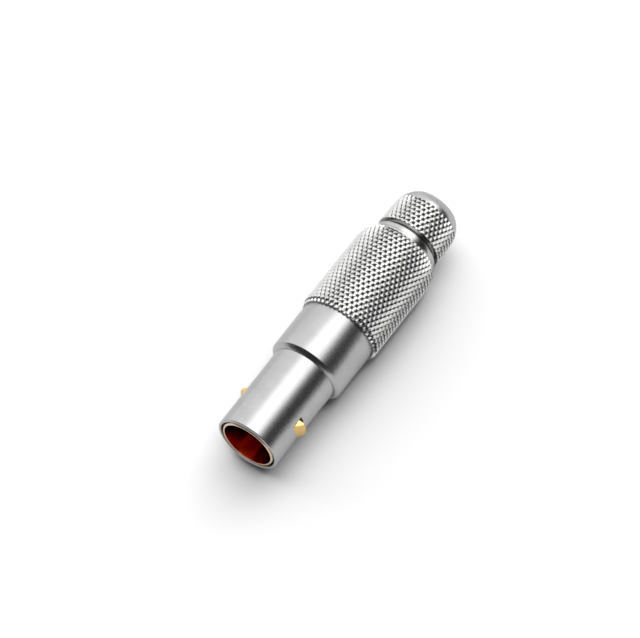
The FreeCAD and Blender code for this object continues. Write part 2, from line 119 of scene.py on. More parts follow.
class NodeTree:
    """Small helper that adds and links shader nodes."""

    def __init__(self, tree: bpy.types.NodeTree) -> None:
        """Take over a node tree and empty it."""
        self.tree = tree
        tree.nodes.clear()

    def add(self, kind: str, settings: dict[str, object] | None = None,
            inputs: dict[str | int, object] | None = None) -> bpy.types.Node:
        """Add a node.

        Args:
            kind: type name of the node.
            settings: attributes to set on it.
            inputs: socket to a constant, or to the output socket that feeds it.

        Returns:
            The new node.
        """
        node = self.tree.nodes.new(kind)
        for name, value in (settings or {}).items():
            setattr(node, name, value)
        for name, value in (inputs or {}).items():
            if isinstance(value, bpy.types.NodeSocket):
                self.tree.links.new(value, node.inputs[name])
            else:
                node.inputs[name].default_value = value
        return node

    def maths(self, operation: str, first: Feed, second: Feed) -> bpy.types.NodeSocket:
        """Result of one operation on two numbers."""
        node = self.add("ShaderNodeMath", {"operation": operation}, {0: first, 1: second})
        return node.outputs["Value"]

    def blend(self, share: Feed, first: Feed, second: Feed) -> bpy.types.NodeSocket:
        """Number that goes from the first to the second as the share goes from 0 to 1."""
        node = self.add("ShaderNodeMix", inputs={"Factor": share, NUMBER_A: first, NUMBER_B: second})
        return node.outputs[NUMBER_OUT]

    def blend_colours(self, share: Feed, first: Colour, second: Colour) -> bpy.types.NodeSocket:
        """Colour that goes from the first to the second as the share goes from 0 to 1."""
        node = self.add("ShaderNodeMix", {"data_type": "RGBA"}, {
            "Factor": share, COLOUR_A: (*first, 1), COLOUR_B: (*second, 1)})
        return node.outputs[COLOUR_OUT]

    def millimetres(self) -> bpy.types.NodeSocket:
        """Object coordinates in millimetres, centred on the plug's axis."""
        place = self.add("ShaderNodeTexCoord").outputs["Object"]
        mapping = self.add("ShaderNodeMapping", inputs={
            "Vector": place, "Location": (0, 0, -AXIS_HEIGHT / MM), "Scale": (1 / MM,) * 3})
        return mapping.outputs["Vector"]

    def noise(self, place: bpy.types.NodeSocket, scale: float, octaves: float = 2.0) -> bpy.types.NodeSocket:
        """Noise value between 0 and 1.

        Args:
            place: coordinates to sample at.
            scale: features per unit of the coordinates.
            octaves: how many finer layers are added.

        Returns:
            The noise output.
        """
        node = self.add("ShaderNodeTexNoise", inputs={"Vector": place, "Scale": scale, "Detail": octaves})
        return node.outputs["Fac"]

    def spread(self, noise: bpy.types.NodeSocket, low: float, high: float) -> bpy.types.NodeSocket:
        """Map the middle of a noise, where nearly all of it lies, to a range.

        Args:
            noise: value between 0 and 1.
            low: result at the lower end.
            high: result at the upper end.

        Returns:
            The mapped value.
        """
        node = self.add("ShaderNodeMapRange", inputs={
            "Value": noise, "From Min": NOISE_LOW, "From Max": NOISE_HIGH, "To Min": low, "To Max": high})
        return node.outputs["Result"]


def new_material(name: str) -> tuple[bpy.types.Material, NodeTree]:
    """Add a material with an empty node tree.

    Args:
        name: name of the material.

    Returns:
        The material, and the helper that fills its tree.
    """
    material = bpy.data.materials.new(name)
    material.use_nodes = True
    return material, NodeTree(material.node_tree)


@dataclass(frozen=True)
class Surface:
    """A finish with soft patches of a second tone and a fine grain, as on moulded and rubbery pieces.

    Attributes:
        slot: material slot of the record that the finish belongs to; not used by the script.
        colour: linear colour.
        roughness: mean roughness.
        spread: how far the grain moves the roughness either way.
        grain: grains per millimetre.
        relief: depth of the grain, in millimetres.
        tint: second tone.
        turning: rings per millimetre left by the lathe, 0 for none.
        wander: how far the rings stray from true circles.
        metallic: 1 for bare metal, 0 for anything else.
        patches: patches of the second tone per millimetre.
        octaves: finer layers of the grain.
        bump: strength of the grain's bump.
    """

    slot: str
    colour: Colour
    roughness: float
    spread: float
    grain: float
    relief: float
    tint: Colour
    turning: float = 0.0
    wander: float = 1.5
    metallic: float = 0.0
    patches: float = 0.9
    octaves: float = 4.0
    bump: float = 0.8

    def build(self, name: str) -> bpy.types.Material:
        """Make the material.

        Args:
            name: name of the material.

        Returns:
            The material.
        """
        material, nodes = new_material(name)
        place = nodes.millimetres()
        grain = nodes.noise(place, self.grain, self.octaves)
        height = grain
        if self.turning:
            rings = nodes.add("ShaderNodeTexWave", {"wave_type": "BANDS", "bands_direction": "X"}, {
                "Vector": place, "Scale": self.turning, "Distortion": self.wander, "Detail": RING_OCTAVES})
            height = nodes.maths("ADD", grain, rings.outputs["Fac"])
        bump = nodes.add("ShaderNodeBump", inputs={
            "Height": height, "Strength": self.bump, "Distance": self.relief * MM})
        patches = nodes.spread(nodes.noise(place, self.patches), 0, 1)
        shader = nodes.add("ShaderNodeBsdfPrincipled", inputs={
            "Metallic": self.metallic,
            "Normal": bump.outputs["Normal"],
            "Base Color": nodes.blend_colours(patches, self.colour, self.tint),
            "Roughness": nodes.spread(grain, self.roughness - self.spread, self.roughness + self.spread)})
        nodes.add("ShaderNodeOutputMaterial", inputs={"Surface": shader.outputs["BSDF"]})
        return material


@dataclass(frozen=True)
class Metal(Surface):
    """A plated metal, with broader patches and a softer grain."""

    metallic: float = 1.0
    patches: float = 0.6
    octaves: float = 3.0
    bump: float = 0.6


class Finish(Enum):
    """The finishes of the plug, with copies of the chrome and the gold that carry painted light or shade."""

    SATIN_CHROME = Metal("satin_chrome", (0.64, 0.64, 0.645), 0.28, 0.05, 14.0, 0.0012, (0.59, 0.59, 0.595))
    # A lighter copy of the satin chrome for the knurl's diamonds: painted light.
    LIT_KNURL_CHROME = Metal("satin_chrome", (0.96, 0.96, 0.95), 0.25, 0.06, 12.0, 0.0012, (0.87, 0.87, 0.86))
    # A near-black copy of the chrome for the pits where the knurl's grooves cross: painted shade.
    PAINTED_SHADE_PIT = Metal("satin_chrome", (0.05, 0.05, 0.048), 0.4, 0.08, 12.0, 0.001, (0.03, 0.03, 0.03))
    # A darker copy of the chrome for the knurl's cut ends: painted shade.
    SHADED_FACE = Metal("satin_chrome", (0.4, 0.4, 0.4), 0.14, 0.04, 12.0, 0.001, (0.3, 0.3, 0.3))
    BRIGHT_NICKEL = Metal(
        "bright_nickel", (0.72, 0.71, 0.68), 0.2, 0.05, 10.0, 0.0008, (0.6, 0.59, 0.57), turning=9.0)
    GOLD = Metal("gold_plate", (1.0, 0.72, 0.32), 0.16, 0.04, 10.0, 0.0006, (0.9, 0.58, 0.22))
    # A paler copy of the gold for the sleeve's front rim: a painted highlight.
    PAINTED_HIGHLIGHT_GOLD = Metal("gold_plate", (1.0, 0.83, 0.66), 0.2, 0.04, 10.0, 0.0006, (1.0, 0.76, 0.55))
    # A dark red copy of the gold for the sleeve's bore: painted shade inside the mouth.
    PAINTED_SHADE_GOLD = Metal(
        "gold_plate", (0.46, 0.055, 0.006), 0.15, 0.04, 8.0, 0.0005, (0.32, 0.025, 0.003), turning=7.0)
    PALE_INSULATOR = Surface("pale_insulator", (0.7, 0.6, 0.44), 0.5, 0.08, 6.0, 0.002, (0.62, 0.5, 0.34))
    BLACK_RUBBER = Surface("black_rubber", (0.012, 0.012, 0.012), 0.7, 0.08, 5.0, 0.004, (0.03, 0.03, 0.03))


class Palette:
    """Makes each material once and hands it out."""

    def __init__(self) -> None:
        """Start with no material made."""
        self.made: dict[Finish, bpy.types.Material] = {}

    def material(self, finish: Finish) -> bpy.types.Material:
        """The material of a finish, made on first use.

        Args:
            finish: finish that is wanted.

        Returns:
            Its material.
        """
        if finish not in self.made:
            self.made[finish] = finish.value.build(finish.name.lower())
        return self.made[finish]

    def paint(self, piece: bpy.types.Object, *finishes: Finish) -> None:
        """Give a piece its finishes, in the order of the numbers of its faces.

        Args:
            piece: object to paint.
            finishes: main finish, then those of specially numbered faces.
        """
        if piece.data.materials:
            piece.data.materials.clear()
        for finish in finishes:
            piece.data.materials.append(self.material(finish))


def number_faces(piece: bpy.types.Object, number: int, wanted: FaceTest) -> None:
    """Give the faces that a test accepts a material number.

    Args:
        piece: object that has the faces.
        number: place of the finish among those of the piece.
        wanted: test of a face.
    """
    for face in piece.data.polygons:
        if wanted(face):
            face.material_index = number


def along(station: float) -> float:
    """X in metres of a station in millimetres."""
    return (station - PLUG_LENGTH / 2) * MM


def only(piece: bpy.types.Object) -> None:
    """Select one object alone and make it active.

    Args:
        piece: object to select.
    """
    bpy.ops.object.select_all(action="DESELECT")
    piece.select_set(True)
    bpy.context.view_layer.objects.active = piece


def named(name: str) -> bpy.types.Object:
    """Name the active object and put its place into its mesh.

    Args:
        name: name of the object and its mesh.

    Returns:
        The object.
    """
    piece = bpy.context.object
    piece.name = name
    piece.data.name = name
    bpy.ops.object.transform_apply(location=True, rotation=True, scale=True)
    return piece


def edit(piece: bpy.types.Object, action: str) -> None:
    """Enter edit mode on one piece, with all of its mesh selected or none.

    Args:
        piece: object to edit.
        action: SELECT or DESELECT.
    """
    only(piece)
    bpy.ops.object.mode_set(mode="EDIT")
    bpy.ops.mesh.select_mode(type="VERT")
    bpy.ops.mesh.select_all(action=action)


def leave() -> None:
    """Leave edit mode."""
    bpy.ops.object.mode_set(mode="OBJECT")


def mark(piece: bpy.types.Object, wanted: VertexTest) -> None:
    """Select the vertices of a mesh that a test accepts, and stay in edit mode.

    Args:
        piece: mesh object, in object mode.
        wanted: test of a vertex.
    """
    edit(piece, "DESELECT")
    leave()
    for vertex in piece.data.vertices:
        vertex.select = wanted(vertex)
    bpy.ops.object.mode_set(mode="EDIT")


def swell(factor: float, station: float) -> None:
    """Scale what is selected about the axis, at a station."""
    bpy.ops.transform.resize(value=(1, factor, factor), center_override=(along(station), 0, AXIS_HEIGHT))


def radius_of(vertex: bpy.types.MeshVertex) -> float:
    """Distance of a vertex from the plug's axis, in metres."""
    return math.hypot(vertex.co.y, vertex.co.z - AXIS_HEIGHT)


def ring(station: float, radius: float, segments: int) -> bpy.types.Object:
    """Add an open circle round the axis and stay in edit mode, with all of it selected.

    Args:
        station: where it lies.
        radius: its radius.
        segments: its sides.

    Returns:
        The new object.
    """
    bpy.ops.object.select_all(action="DESELECT")
    bpy.ops.mesh.primitive_circle_add(
        vertices=segments, radius=radius * MM, fill_type="NOTHING",
        location=(along(station), 0, AXIS_HEIGHT), rotation=(0, math.pi / 2, 0))
    piece = named("ring")
    edit(piece, "SELECT")
    return piece


def drive(outline: Outline) -> None:
    """Extrude the selected circle through the corners of an outline.

    Args:
        outline: corners as (station, radius), of which the first is where the circle lies.
    """
    station, radius = outline[0]
    for next_station, next_radius in outline[1:]:
        bpy.ops.mesh.extrude_region_move(
            TRANSFORM_OT_translate={"value": ((next_station - station) * MM, 0, 0)})
        if next_radius != radius:
            swell(next_radius / radius, next_station)
        station, radius = next_station, next_radius


def close(piece: bpy.types.Object, name: str) -> bpy.types.Object:
    """Weld a mesh in edit mode, turn its normals outward and leave edit mode.

    Args:
        piece: object in edit mode.
        name: name that it gets.

    Returns:
        The same object.
    """
    bpy.ops.mesh.select_all(action="SELECT")
    bpy.ops.mesh.remove_doubles(threshold=WELD)
    bpy.ops.mesh.normals_make_consistent(inside=False)
    leave()
    piece.name = name
    piece.data.name = name
    return piece


def turn(name: str, outline: Outline) -> bpy.types.Object:
    """Turn a closed outline round the axis into a solid.

    Args:
        name: name of the new object.
        outline: corners as (station, radius), without the first one repeated.

    Returns:
        The new object, in object mode.
    """
    piece = ring(*outline[0], ROUND_SEGMENTS)
    drive((*outline, outline[0]))
    return close(piece, name)


def stepped(bore: float, steps: Outline, end: float) -> Outline:
    """Outline of a stepped cylinder with a hole right through.

    Args:
        bore: radius of the hole.
        steps: first station and radius of each step, from the front.
        end: last station.

    Returns:
        Corners as (station, radius).
    """
    corners = [(steps[0][0], bore)]
    for (start, radius), (stop, _) in zip(steps, (*steps[1:], (end, bore))):
        corners += [(start, radius), (stop, radius)]
    return (*corners, (end, bore))


def block(name: str, low: Point, high: Point) -> bpy.types.Object:
    """Add a box.

    Args:
        name: name of the new object.
        low: lowest corner as (station, y, z) about the axis.
        high: highest corner.

    Returns:
        The new object.
    """
    bpy.ops.object.select_all(action="DESELECT")
    size = [(far - near) * MM for near, far in zip(low, high)]
    station, side, height = ((near + far) / 2 for near, far in zip(low, high))
    bpy.ops.mesh.primitive_cube_add(
        size=1, location=(along(station), side * MM, AXIS_HEIGHT + height * MM), scale=size)
    return named(name)


def apply_modifier(piece: bpy.types.Object, kind: str, **settings: object) -> None:
    """Add a modifier and apply it.

    Args:
        piece: object to change.
        kind: type name of the modifier.
        settings: attributes to set on it.
    """
    only(piece)
    modifier = piece.modifiers.new(kind.lower(), kind)
    for name, value in settings.items():
        setattr(modifier, name, value)
    bpy.ops.object.modifier_apply(modifier=modifier.name)


def carve(piece: bpy.types.Object, tool: bpy.types.Object, operation: str = "DIFFERENCE") -> None:
    """Cut a tool out of a piece, or keep only what they share, and delete the tool.

    Args:
        piece: object to cut.
        tool: object to cut with.
        operation: DIFFERENCE or INTERSECT.
    """
    apply_modifier(piece, "BOOLEAN", operation=operation, object=tool, solver="EXACT")
    bpy.data.objects.remove(tool)


def soften(piece: bpy.types.Object, width: float) -> None:
    """Round the sharp edges of a piece and shade it smooth.

    Args:
        piece: object to soften.
        width: width of the rounding.
    """
    apply_modifier(piece, "BEVEL", width=width * MM, segments=EDGE_SEGMENTS, limit_method="ANGLE",
                   angle_limit=SHARP_ANGLE)
    only(piece)
    bpy.ops.object.shade_smooth_by_angle(angle=SMOOTH_ANGLE)


@dataclass
class Knurl:
    """A band of flat-topped diamonds between two sets of crossing grooves.

    Attributes:
        start: first station.
        end: last station.
        rows: rows of cells along the band.
        count: points in each row, crests and groove crossings together.
        crest: radius over the tops where the band is full.
        floor: radius of the groove crossings where the band is full.
        end_crest: radius over the tops at the last station.
        crown: length of the rounded end.
        core: radius of the hidden core.
        flat: share of each ridge that the flat top takes.
        pit: share of each groove that the pit at a crossing takes, which is painted with shade.
        pit_sides: sides of a pit.
        lead: how much lower the first row lies, where the band starts on a bevel.
        slack: how far a point may stray from the radius that tells it apart.
    """

    start: float
    end: float
    rows: int
    count: int
    crest: float
    floor: float
    end_crest: float
    crown: float
    core: float
    flat: float = 0.42
    pit: float = 0.47
    pit_sides: int = 8
    lead: float = 0.0
    slack: float = 0.01

    def top(self, station: float) -> float:
        """Radius over the tops.

        Args:
            station: where along the band.

        Returns:
            The radius, which falls along a quarter of an ellipse at the rounded end.
        """
        share = min(1.0, max(0.0, (station - self.end + self.crown) / self.crown))
        lead = self.lead if station < self.start + WELD else 0.0
        return self.crest - lead - (self.crest - self.end_crest) * (1 - math.sqrt(1 - share * share))

    def bottom(self, station: float) -> float:
        """Radius of the groove crossings at a station."""
        return self.top(station) - self.crest + self.floor

    def station(self, row: int) -> float:
        """Station of a row."""
        return self.start + (self.end - self.start) * row / self.rows

    def apex(self, row: int) -> float:
        """Radius of the pointed pyramids of a row, whose cut-off tops lie on the crest."""
        station = self.station(row)
        return (self.top(station) - self.flat * self.bottom(station)) / (1 - self.flat)

    def build(self, name: str, palette: Palette) -> bpy.types.Object:
        """Model the band as one closed mesh, one row longer at each end, cut it to length and paint it.

        Args:
            name: name of the new object.
            palette: where the finishes come from.

        Returns:
            The new object.
        """
        rows = range(-1, self.rows + 2)
        outline = [(self.station(row), self.apex(row)) for row in rows]
        first, last = outline[0][0], outline[-1][0]
        piece = ring(*outline[0], self.count)
        bpy.ops.transform.rotate(value=math.pi / self.count, orient_axis="X",
                                 center_override=(along(first), 0, AXIS_HEIGHT))
        drive((*outline, (last, self.core), (first, self.core), outline[0]))
        close(piece, name)
        for row in rows:
            self.sink(piece, row)
        self.fold(piece)
        self.trim(piece)
        # Chrome lightened with painted light on the diamonds, with painted shade in the pits and on the cut
        # ends.
        palette.paint(piece, Finish.LIT_KNURL_CHROME, Finish.PAINTED_SHADE_PIT, Finish.SHADED_FACE)
        return piece

    def lies(self, vertex: bpy.types.MeshVertex, row: int) -> bool:
        """Whether a vertex belongs to a row of the band's skin."""
        near = abs(vertex.co.x - along(self.station(row))) < SAME_PLANE
        return near and radius_of(vertex) > (self.core + 2 * self.slack) * MM

    def is_crest(self, vertex: bpy.types.MeshVertex, row: int) -> bool:
        """Whether a vertex of a row is the middle of a diamond."""
        angle = math.atan2(vertex.co.z - AXIS_HEIGHT, vertex.co.y)
        return (row + math.floor(angle / (2 * math.pi) * self.count)) % 2 == 0

    def is_floor(self, vertex: bpy.types.MeshVertex, row: int) -> bool:
        """Whether a vertex of a row is a groove crossing."""
        return radius_of(vertex) < (self.bottom(self.station(row)) + self.slack) * MM

    def is_pit(self, face: bpy.types.MeshPolygon) -> bool:
        """Whether a face is the bottom of a pit, and not a cut end."""
        return len(face.vertices) == self.pit_sides and abs(face.normal.x) < PIT_LEAN

    def sink(self, piece: bpy.types.Object, row: int) -> None:
        """Lower the groove crossings of a row to their own radius.

        Args:
            piece: the band, in object mode.
            row: row to work on.
        """
        station = self.station(row)
        mark(piece, lambda vertex: self.lies(vertex, row) and not self.is_crest(vertex, row))
        swell(self.bottom(station) / self.apex(row), station)
        leave()

    def fold(self, piece: bpy.types.Object) -> None:
        """Fold the cells along the grooves, cut the tops flat and open a pit at each crossing.

        Args:
            piece: the band, in object mode.
        """
        edit(piece, "SELECT")
        bpy.ops.mesh.quads_convert_to_tris(quad_method="SHORTEST_DIAGONAL", ngon_method="BEAUTY")
        leave()
        rows = range(self.rows + 1)
        for share, belongs in ((self.flat, self.is_crest), (self.pit, self.is_floor)):
            mark(piece, lambda vertex: any(self.lies(vertex, row) and belongs(vertex, row) for row in rows))
            bpy.ops.mesh.bevel(offset_type="PERCENT", offset_pct=100 * share, segments=1, affect="VERTICES")
            leave()
        # The pit faces are painted near black: painted shade where the grooves cross.
        number_faces(piece, PIT_FACE, self.is_pit)

    def trim(self, piece: bpy.types.Object) -> None:
        """Cut the band off square at both ends.

        Args:
            piece: the band, in object mode.
        """
        for station, side in ((self.start, -1), (self.end, 1)):
            edit(piece, "SELECT")
            bpy.ops.mesh.bisect(plane_co=(along(station), 0, AXIS_HEIGHT), plane_no=(side, 0, 0),
                                use_fill=True, clear_outer=True)
            leave()
        # The cut ends get the darker chrome: painted shade.
        number_faces(piece, END_FACE, lambda face: abs(face.normal.x) > END_LEAN)


@dataclass
class Shell:
    """The sliding outer shell: barrel with two windows, bevelled ring and knurled grip.

    Attributes:
        bore: radius inside the barrel.
        barrel: radius of the barrel.
        mouth_bevel: bevel round the mouth.
        barrel_end: station of the shoulder.
        shoulder: radius where the shoulder's bevel starts.
        ring_start: station where the bevel ends.
        ring: radius of the smooth ring.
        chamber: radius inside the ring and the grip.
        chamber_start: station where the chamber starts.
        window: stations of the front and back edge of the latch windows.
        window_half_width: half of their width.
        edge: rounding of the sharp edges.
        knurl: the knurled band of the grip.
    """

    bore: float = 4.28
    barrel: float = 4.69
    mouth_bevel: float = 0.12
    barrel_end: float = 13.2
    shoulder: float = 4.98
    ring_start: float = 13.76
    ring: float = 5.49
    chamber: float = 4.8
    chamber_start: float = 16.4
    window: Span = (4.6, 6.55)
    window_half_width: float = 2.12
    edge: float = 0.05
    knurl: Knurl = field(default_factory=lambda: Knurl(
        start=21.2, end=36.0, rows=23, count=96, crest=5.995, floor=5.76, end_crest=5.3, crown=2.8,
        core=4.93, lead=0.24))

    def outline(self) -> Outline:
        """Corners of the turned body, which carries the band as a thin tube."""
        knurl = self.knurl
        return (
            (0, self.bore), (0, self.barrel - self.mouth_bevel), (self.mouth_bevel, self.barrel),
            (self.barrel_end, self.barrel), (self.barrel_end, self.shoulder), (self.ring_start, self.ring),
            (knurl.start, self.ring), (knurl.start, knurl.core), (knurl.end, knurl.core),
            (knurl.end, self.chamber), (self.chamber_start, self.chamber), (self.chamber_start, self.bore))

    def build(self, palette: Palette) -> list[bpy.types.Object]:
        """Model the shell, paint it and let it stand for the CAD node.

        Args:
            palette: where the finishes come from.

        Returns:
            The turned body and the knurled band.
        """
        body = turn("shell_body", self.outline())
        front, back = self.window
        half = self.window_half_width
        carve(body, block("window_tool", (front, -TOOL_REACH, -half), (back, TOOL_REACH, half)))
        soften(body, self.edge)
        palette.paint(body, Finish.SATIN_CHROME)
        grip = self.knurl.build("knurled_grip", palette)
        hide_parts("outer_shell")
        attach(body, "shell")
        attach(grip, "shell")
        return [body, grip]


@dataclass
class Latch:
    """The gold sleeve in the barrel and the two fingers that latch in the receptacle.

    Attributes:
        sleeve: outer radius of the sleeve and of the fingers' leaves.
        mouth: radius inside the front of the sleeve.
        bore: radius inside the rest of it.
        bevel: bevel round the sleeve's rim.
        pocket: stations of the front and back end of the pockets for the fingers.
        pocket_half_width: half of their width.
        collar: first station and radius of the collar.
        seat: last station and radius of the seat inside the collar.
        end: last station of the sleeve.
        sleeve_edge: rounding of its sharp edges.
        rim_depth: how far from the mouth a face can lie that belongs to the rim.
        slack: how far a face has to look towards the axis to belong to the bore.
        half_width: half of a finger's width.
        strip: stations between which a finger is cut out of a turned ring.
        tip_start: first station of a finger.
        tip_step: radius of its front edge.
        slope_start: station where the slope starts that the shell runs up on.
        peak: station and radius of the highest point.
        brow: station and radius of the edge that holds in the receptacle.
        leaf_end: last station of a finger, where it is hinged.
        taper: width left at the peak, as a share.
        taper_above: radius past which a finger narrows.
        finger_edge: rounding of its sharp edges.
    """

    sleeve: float = 4.0
    mouth: float = 3.71
    bore: float = 3.55
    bevel: float = 0.1
    pocket: Span = (4.3, 11.15)
    pocket_half_width: float = 2.12
    collar: Corner = (11.4, 4.23)
    seat: Corner = (11.5, 3.85)
    end: float = 17.48
    sleeve_edge: float = 0.04
    # rim_depth: how far from the mouth a face can lie that belongs to the rim, which gets a painted
    # highlight.
    rim_depth: float = 0.5
    # slack: how far a face has to look towards the axis to belong to the bore, which gets painted shade.
    slack: float = 0.1
    half_width: float = 2.0
    strip: Span = (4.0, 12.0)
    tip_start: float = 4.45
    tip_step: float = 4.2
    slope_start: float = 4.7
    peak: Corner = (5.98, 5.28)
    brow: Corner = (6.3, 5.18)
    leaf_end: float = 11.0
    taper: float = 0.72
    taper_above: float = 4.5
    finger_edge: float = 0.08

    def sleeve_outline(self) -> Outline:
        """Corners of the turned sleeve."""
        collar_start, collar = self.collar
        seat_start, seat = self.seat
        front = self.pocket[0]
        return (
            (0, self.mouth), (0, self.sleeve - self.bevel), (self.bevel, self.sleeve),
            (collar_start, self.sleeve), (collar_start, collar), (self.end, collar), (self.end, seat),
            (seat_start, seat), (seat_start, self.bore), (front, self.bore), (front, self.mouth))

    def finger_outline(self) -> Outline:
        """Corners of the ring that a finger is cut out of."""
        return (
            (self.tip_start, self.bore), (self.tip_start, self.tip_step), (self.slope_start, self.tip_step),
            self.peak, self.brow, (self.brow[0], self.sleeve), (self.leaf_end, self.sleeve),
            (self.leaf_end, self.bore))

    def is_bore(self, face: bpy.types.MeshPolygon) -> bool:
        """Whether a face of the sleeve looks at the axis."""
        spoke = Vector((face.center.y, face.center.z - AXIS_HEIGHT))
        return face.normal.yz.dot(spoke) < -self.slack * MM and abs(face.normal.x) < SLEEVE_LEAN

    def is_rim(self, face: bpy.types.MeshPolygon) -> bool:
        """Whether a face of the sleeve belongs to its front rim."""
        return face.normal.x < -SLEEVE_LEAN and face.center.x < along(self.rim_depth)

    def build_sleeve(self, palette: Palette) -> bpy.types.Object:
        """Model and paint the sleeve.

        Args:
            palette: where the finishes come from.

        Returns:
            The sleeve.
        """
        sleeve = turn("gold_sleeve", self.sleeve_outline())
        front, back = self.pocket
        half = self.pocket_half_width
        carve(sleeve, block("pocket_tool", (front, -TOOL_REACH, -half), (back, TOOL_REACH, half)))
        soften(sleeve, self.sleeve_edge)
        # Gold, with painted shade in the bore and a painted highlight on the rim.
        palette.paint(sleeve, Finish.GOLD, Finish.PAINTED_SHADE_GOLD, Finish.PAINTED_HIGHLIGHT_GOLD)
        # The bore gets the dark red gold: painted shade.
        number_faces(sleeve, SHADED_BORE_FACE, self.is_bore)
        # The front rim gets the paler gold: a painted highlight.
        number_faces(sleeve, HIGHLIGHT_RIM_FACE, self.is_rim)
        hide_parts("latch_sleeve")
        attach(sleeve, "core")
        return sleeve

    def build_finger(self, palette: Palette, side: int, label: str) -> bpy.types.Object:
        """Model and paint one finger.

        Args:
            palette: where the finishes come from.
            side: 1 towards +Y, -1 towards -Y.
            label: left or right, as in the name of the CAD node.

        Returns:
            The finger.
        """
        leaf = turn(f"latch_leaf_{label}", self.finger_outline())
        near, far = sorted((0, TOOL_REACH * side))
        front, back = self.strip
        half = self.half_width
        carve(leaf, block("strip_tool", (front, near, -half), (back, far, half)), "INTERSECT")
        mark(leaf, lambda vertex: radius_of(vertex) > self.taper_above * MM)
        bpy.ops.transform.resize(value=(1, 1, self.taper), center_override=(0, 0, AXIS_HEIGHT))
        leave()
        soften(leaf, self.finger_edge)
        palette.paint(leaf, Finish.GOLD)
        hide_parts(f"latch_finger_{label}")
        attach(leaf, f"latch_{label}")
        return leaf

    def build(self, palette: Palette) -> list[bpy.types.Object]:
        """Model the sleeve and the fingers, paint them and let them stand for the CAD nodes.

        Args:
            palette: where the finishes come from.

        Returns:
            The sleeve, the left finger and the right one.
        """
        return [self.build_sleeve(palette), self.build_finger(palette, 1, "left"),
                self.build_finger(palette, -1, "right")]


@dataclass
class Body:
    """The inner body, of which the neck shows between the shell and the nut.

    Each step is its first station and its radius.

    Attributes:
        bore: radius of the hole right through.
        nose: front end, inside the sleeve's seat.
        flange: flange that the shell stops against.
        stem: slim middle.
        neck: neck that shows.
        groove: fine groove in the neck.
        groove_end: station where the neck goes on.
        step: step behind the neck.
        thread: thread that the nut turns on.
        end: last station.
        edge: rounding of the sharp edges.
    """

    bore: float = 3.2
    nose: Corner = (14.5, 3.83)
    flange: Corner = (17.5, 4.7)
    stem: Corner = (18.7, 3.8)
    neck: Corner = (32.4, 4.75)
    groove: Corner = (36.5, 4.69)
    groove_end: float = 36.6
    step: Corner = (37.2, 4.3)
    thread: Corner = (37.4, 3.9)
    end: float = 41.0
    edge: float = 0.06

    def build(self, palette: Palette) -> list[bpy.types.Object]:
        """Model the body, paint it and let it stand for the CAD node.

        Args:
            palette: where the finishes come from.

        Returns:
            The body alone.
        """
        steps = (self.nose, self.flange, self.stem, self.neck, self.groove,
                 (self.groove_end, self.neck[1]), self.step, self.thread)
        body = turn("neck_body", stepped(self.bore, steps, self.end))
        soften(body, self.edge)
        palette.paint(body, Finish.BRIGHT_NICKEL)
        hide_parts("inner_body")
        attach(body, "core")
        return [body]


@dataclass
class Nut:
    """The knurled collet nut with its plain cone and cable hole.

    Attributes:
        bore: radius inside, over the thread.
        cone: corners of the cone that goes on from the end of the knurled band.
        end: radius of the end face, before its bevel.
        bevel: bevel of the end.
        hole: radius of the cable hole.
        hole_start: station where the hole starts.
        hole_step: radius where the inner cone meets it.
        inner_cone: station where the inner cone starts.
        edge: rounding of the sharp edges.
        knurl: the knurled band.
    """

    bore: float = 3.95
    cone: Outline = ((43.0, 4.38), (43.6, 4.03))
    end: float = 3.58
    bevel: float = 0.12
    hole: float = 2.75
    hole_start: float = 42.6
    hole_step: float = 2.95
    inner_cone: float = 41.4
    edge: float = 0.05
    knurl: Knurl = field(default_factory=lambda: Knurl(
        start=37.9, end=42.3, rows=7, count=78, crest=4.855, floor=4.62, end_crest=4.63, crown=4.4,
        core=4.19))

    def outline(self) -> Outline:
        """Corners of the turned body, which carries the band as a thin tube."""
        knurl = self.knurl
        return (
            (knurl.start, self.bore), (knurl.start, knurl.core), (knurl.end, knurl.core),
            (knurl.end, knurl.end_crest), *self.cone, (PLUG_LENGTH - self.bevel, self.end),
            (PLUG_LENGTH, self.end - self.bevel), (PLUG_LENGTH, self.hole), (self.hole_start, self.hole),
            (self.hole_start, self.hole_step), (self.inner_cone, self.bore))

    def build(self, palette: Palette) -> list[bpy.types.Object]:
        """Model the nut, paint it and let it stand for the CAD node.

        Args:
            palette: where the finishes come from.

        Returns:
            The turned body and the knurled band.
        """
        body = turn("nut_body", self.outline())
        soften(body, self.edge)
        palette.paint(body, Finish.SATIN_CHROME)
        grip = self.knurl.build("knurled_nut", palette)
        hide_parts("collet_nut")
        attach(body, "nut")
        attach(grip, "nut")
        return [body, grip]


@dataclass
class Inside:
    """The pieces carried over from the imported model.

    Attributes:
        finishes: nodes that get each finish.
    """

    finishes: dict[Finish, tuple[str, ...]] = field(default_factory=lambda: {
        Finish.BRIGHT_NICKEL: (
            "insulator_lock_ring", "screen_crimp_ferrule", "earthing_cone", "braid_clamp_ring",
            "thrust_washer_front", "thrust_washer_rear", "split_collet"),
        Finish.GOLD: ("inner_screen_contact", "centre_contact"),
        Finish.PALE_INSULATOR: (
            "front_insulator", "pin_insulator_front", "pin_insulator_rear", "rear_insulator"),
        Finish.BLACK_RUBBER: ("cable_gasket",),
    })

    def build(self, palette: Palette) -> list[bpy.types.Object]:
        """Paint the pieces and shade them smooth.

        Args:
            palette: where the finishes come from.

        Returns:
            The painted pieces.
        """
        painted = []
        for finish, names in self.finishes.items():
            for name in names:
                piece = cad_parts[name]
                palette.paint(piece, finish)
                only(piece)
                bpy.ops.object.shade_smooth_by_angle(angle=SMOOTH_ANGLE)
                painted.append(piece)
        return painted


@dataclass(frozen=True)
class Panel:
    """Light from one end of the sky, along the plug's axis.

    Attributes:
        brightness: strength of the light.
        full: X of the direction past which it is all that there is.
        begin: X of the direction where it begins to mix in.
    """

    brightness: float
    full: float
    begin: float


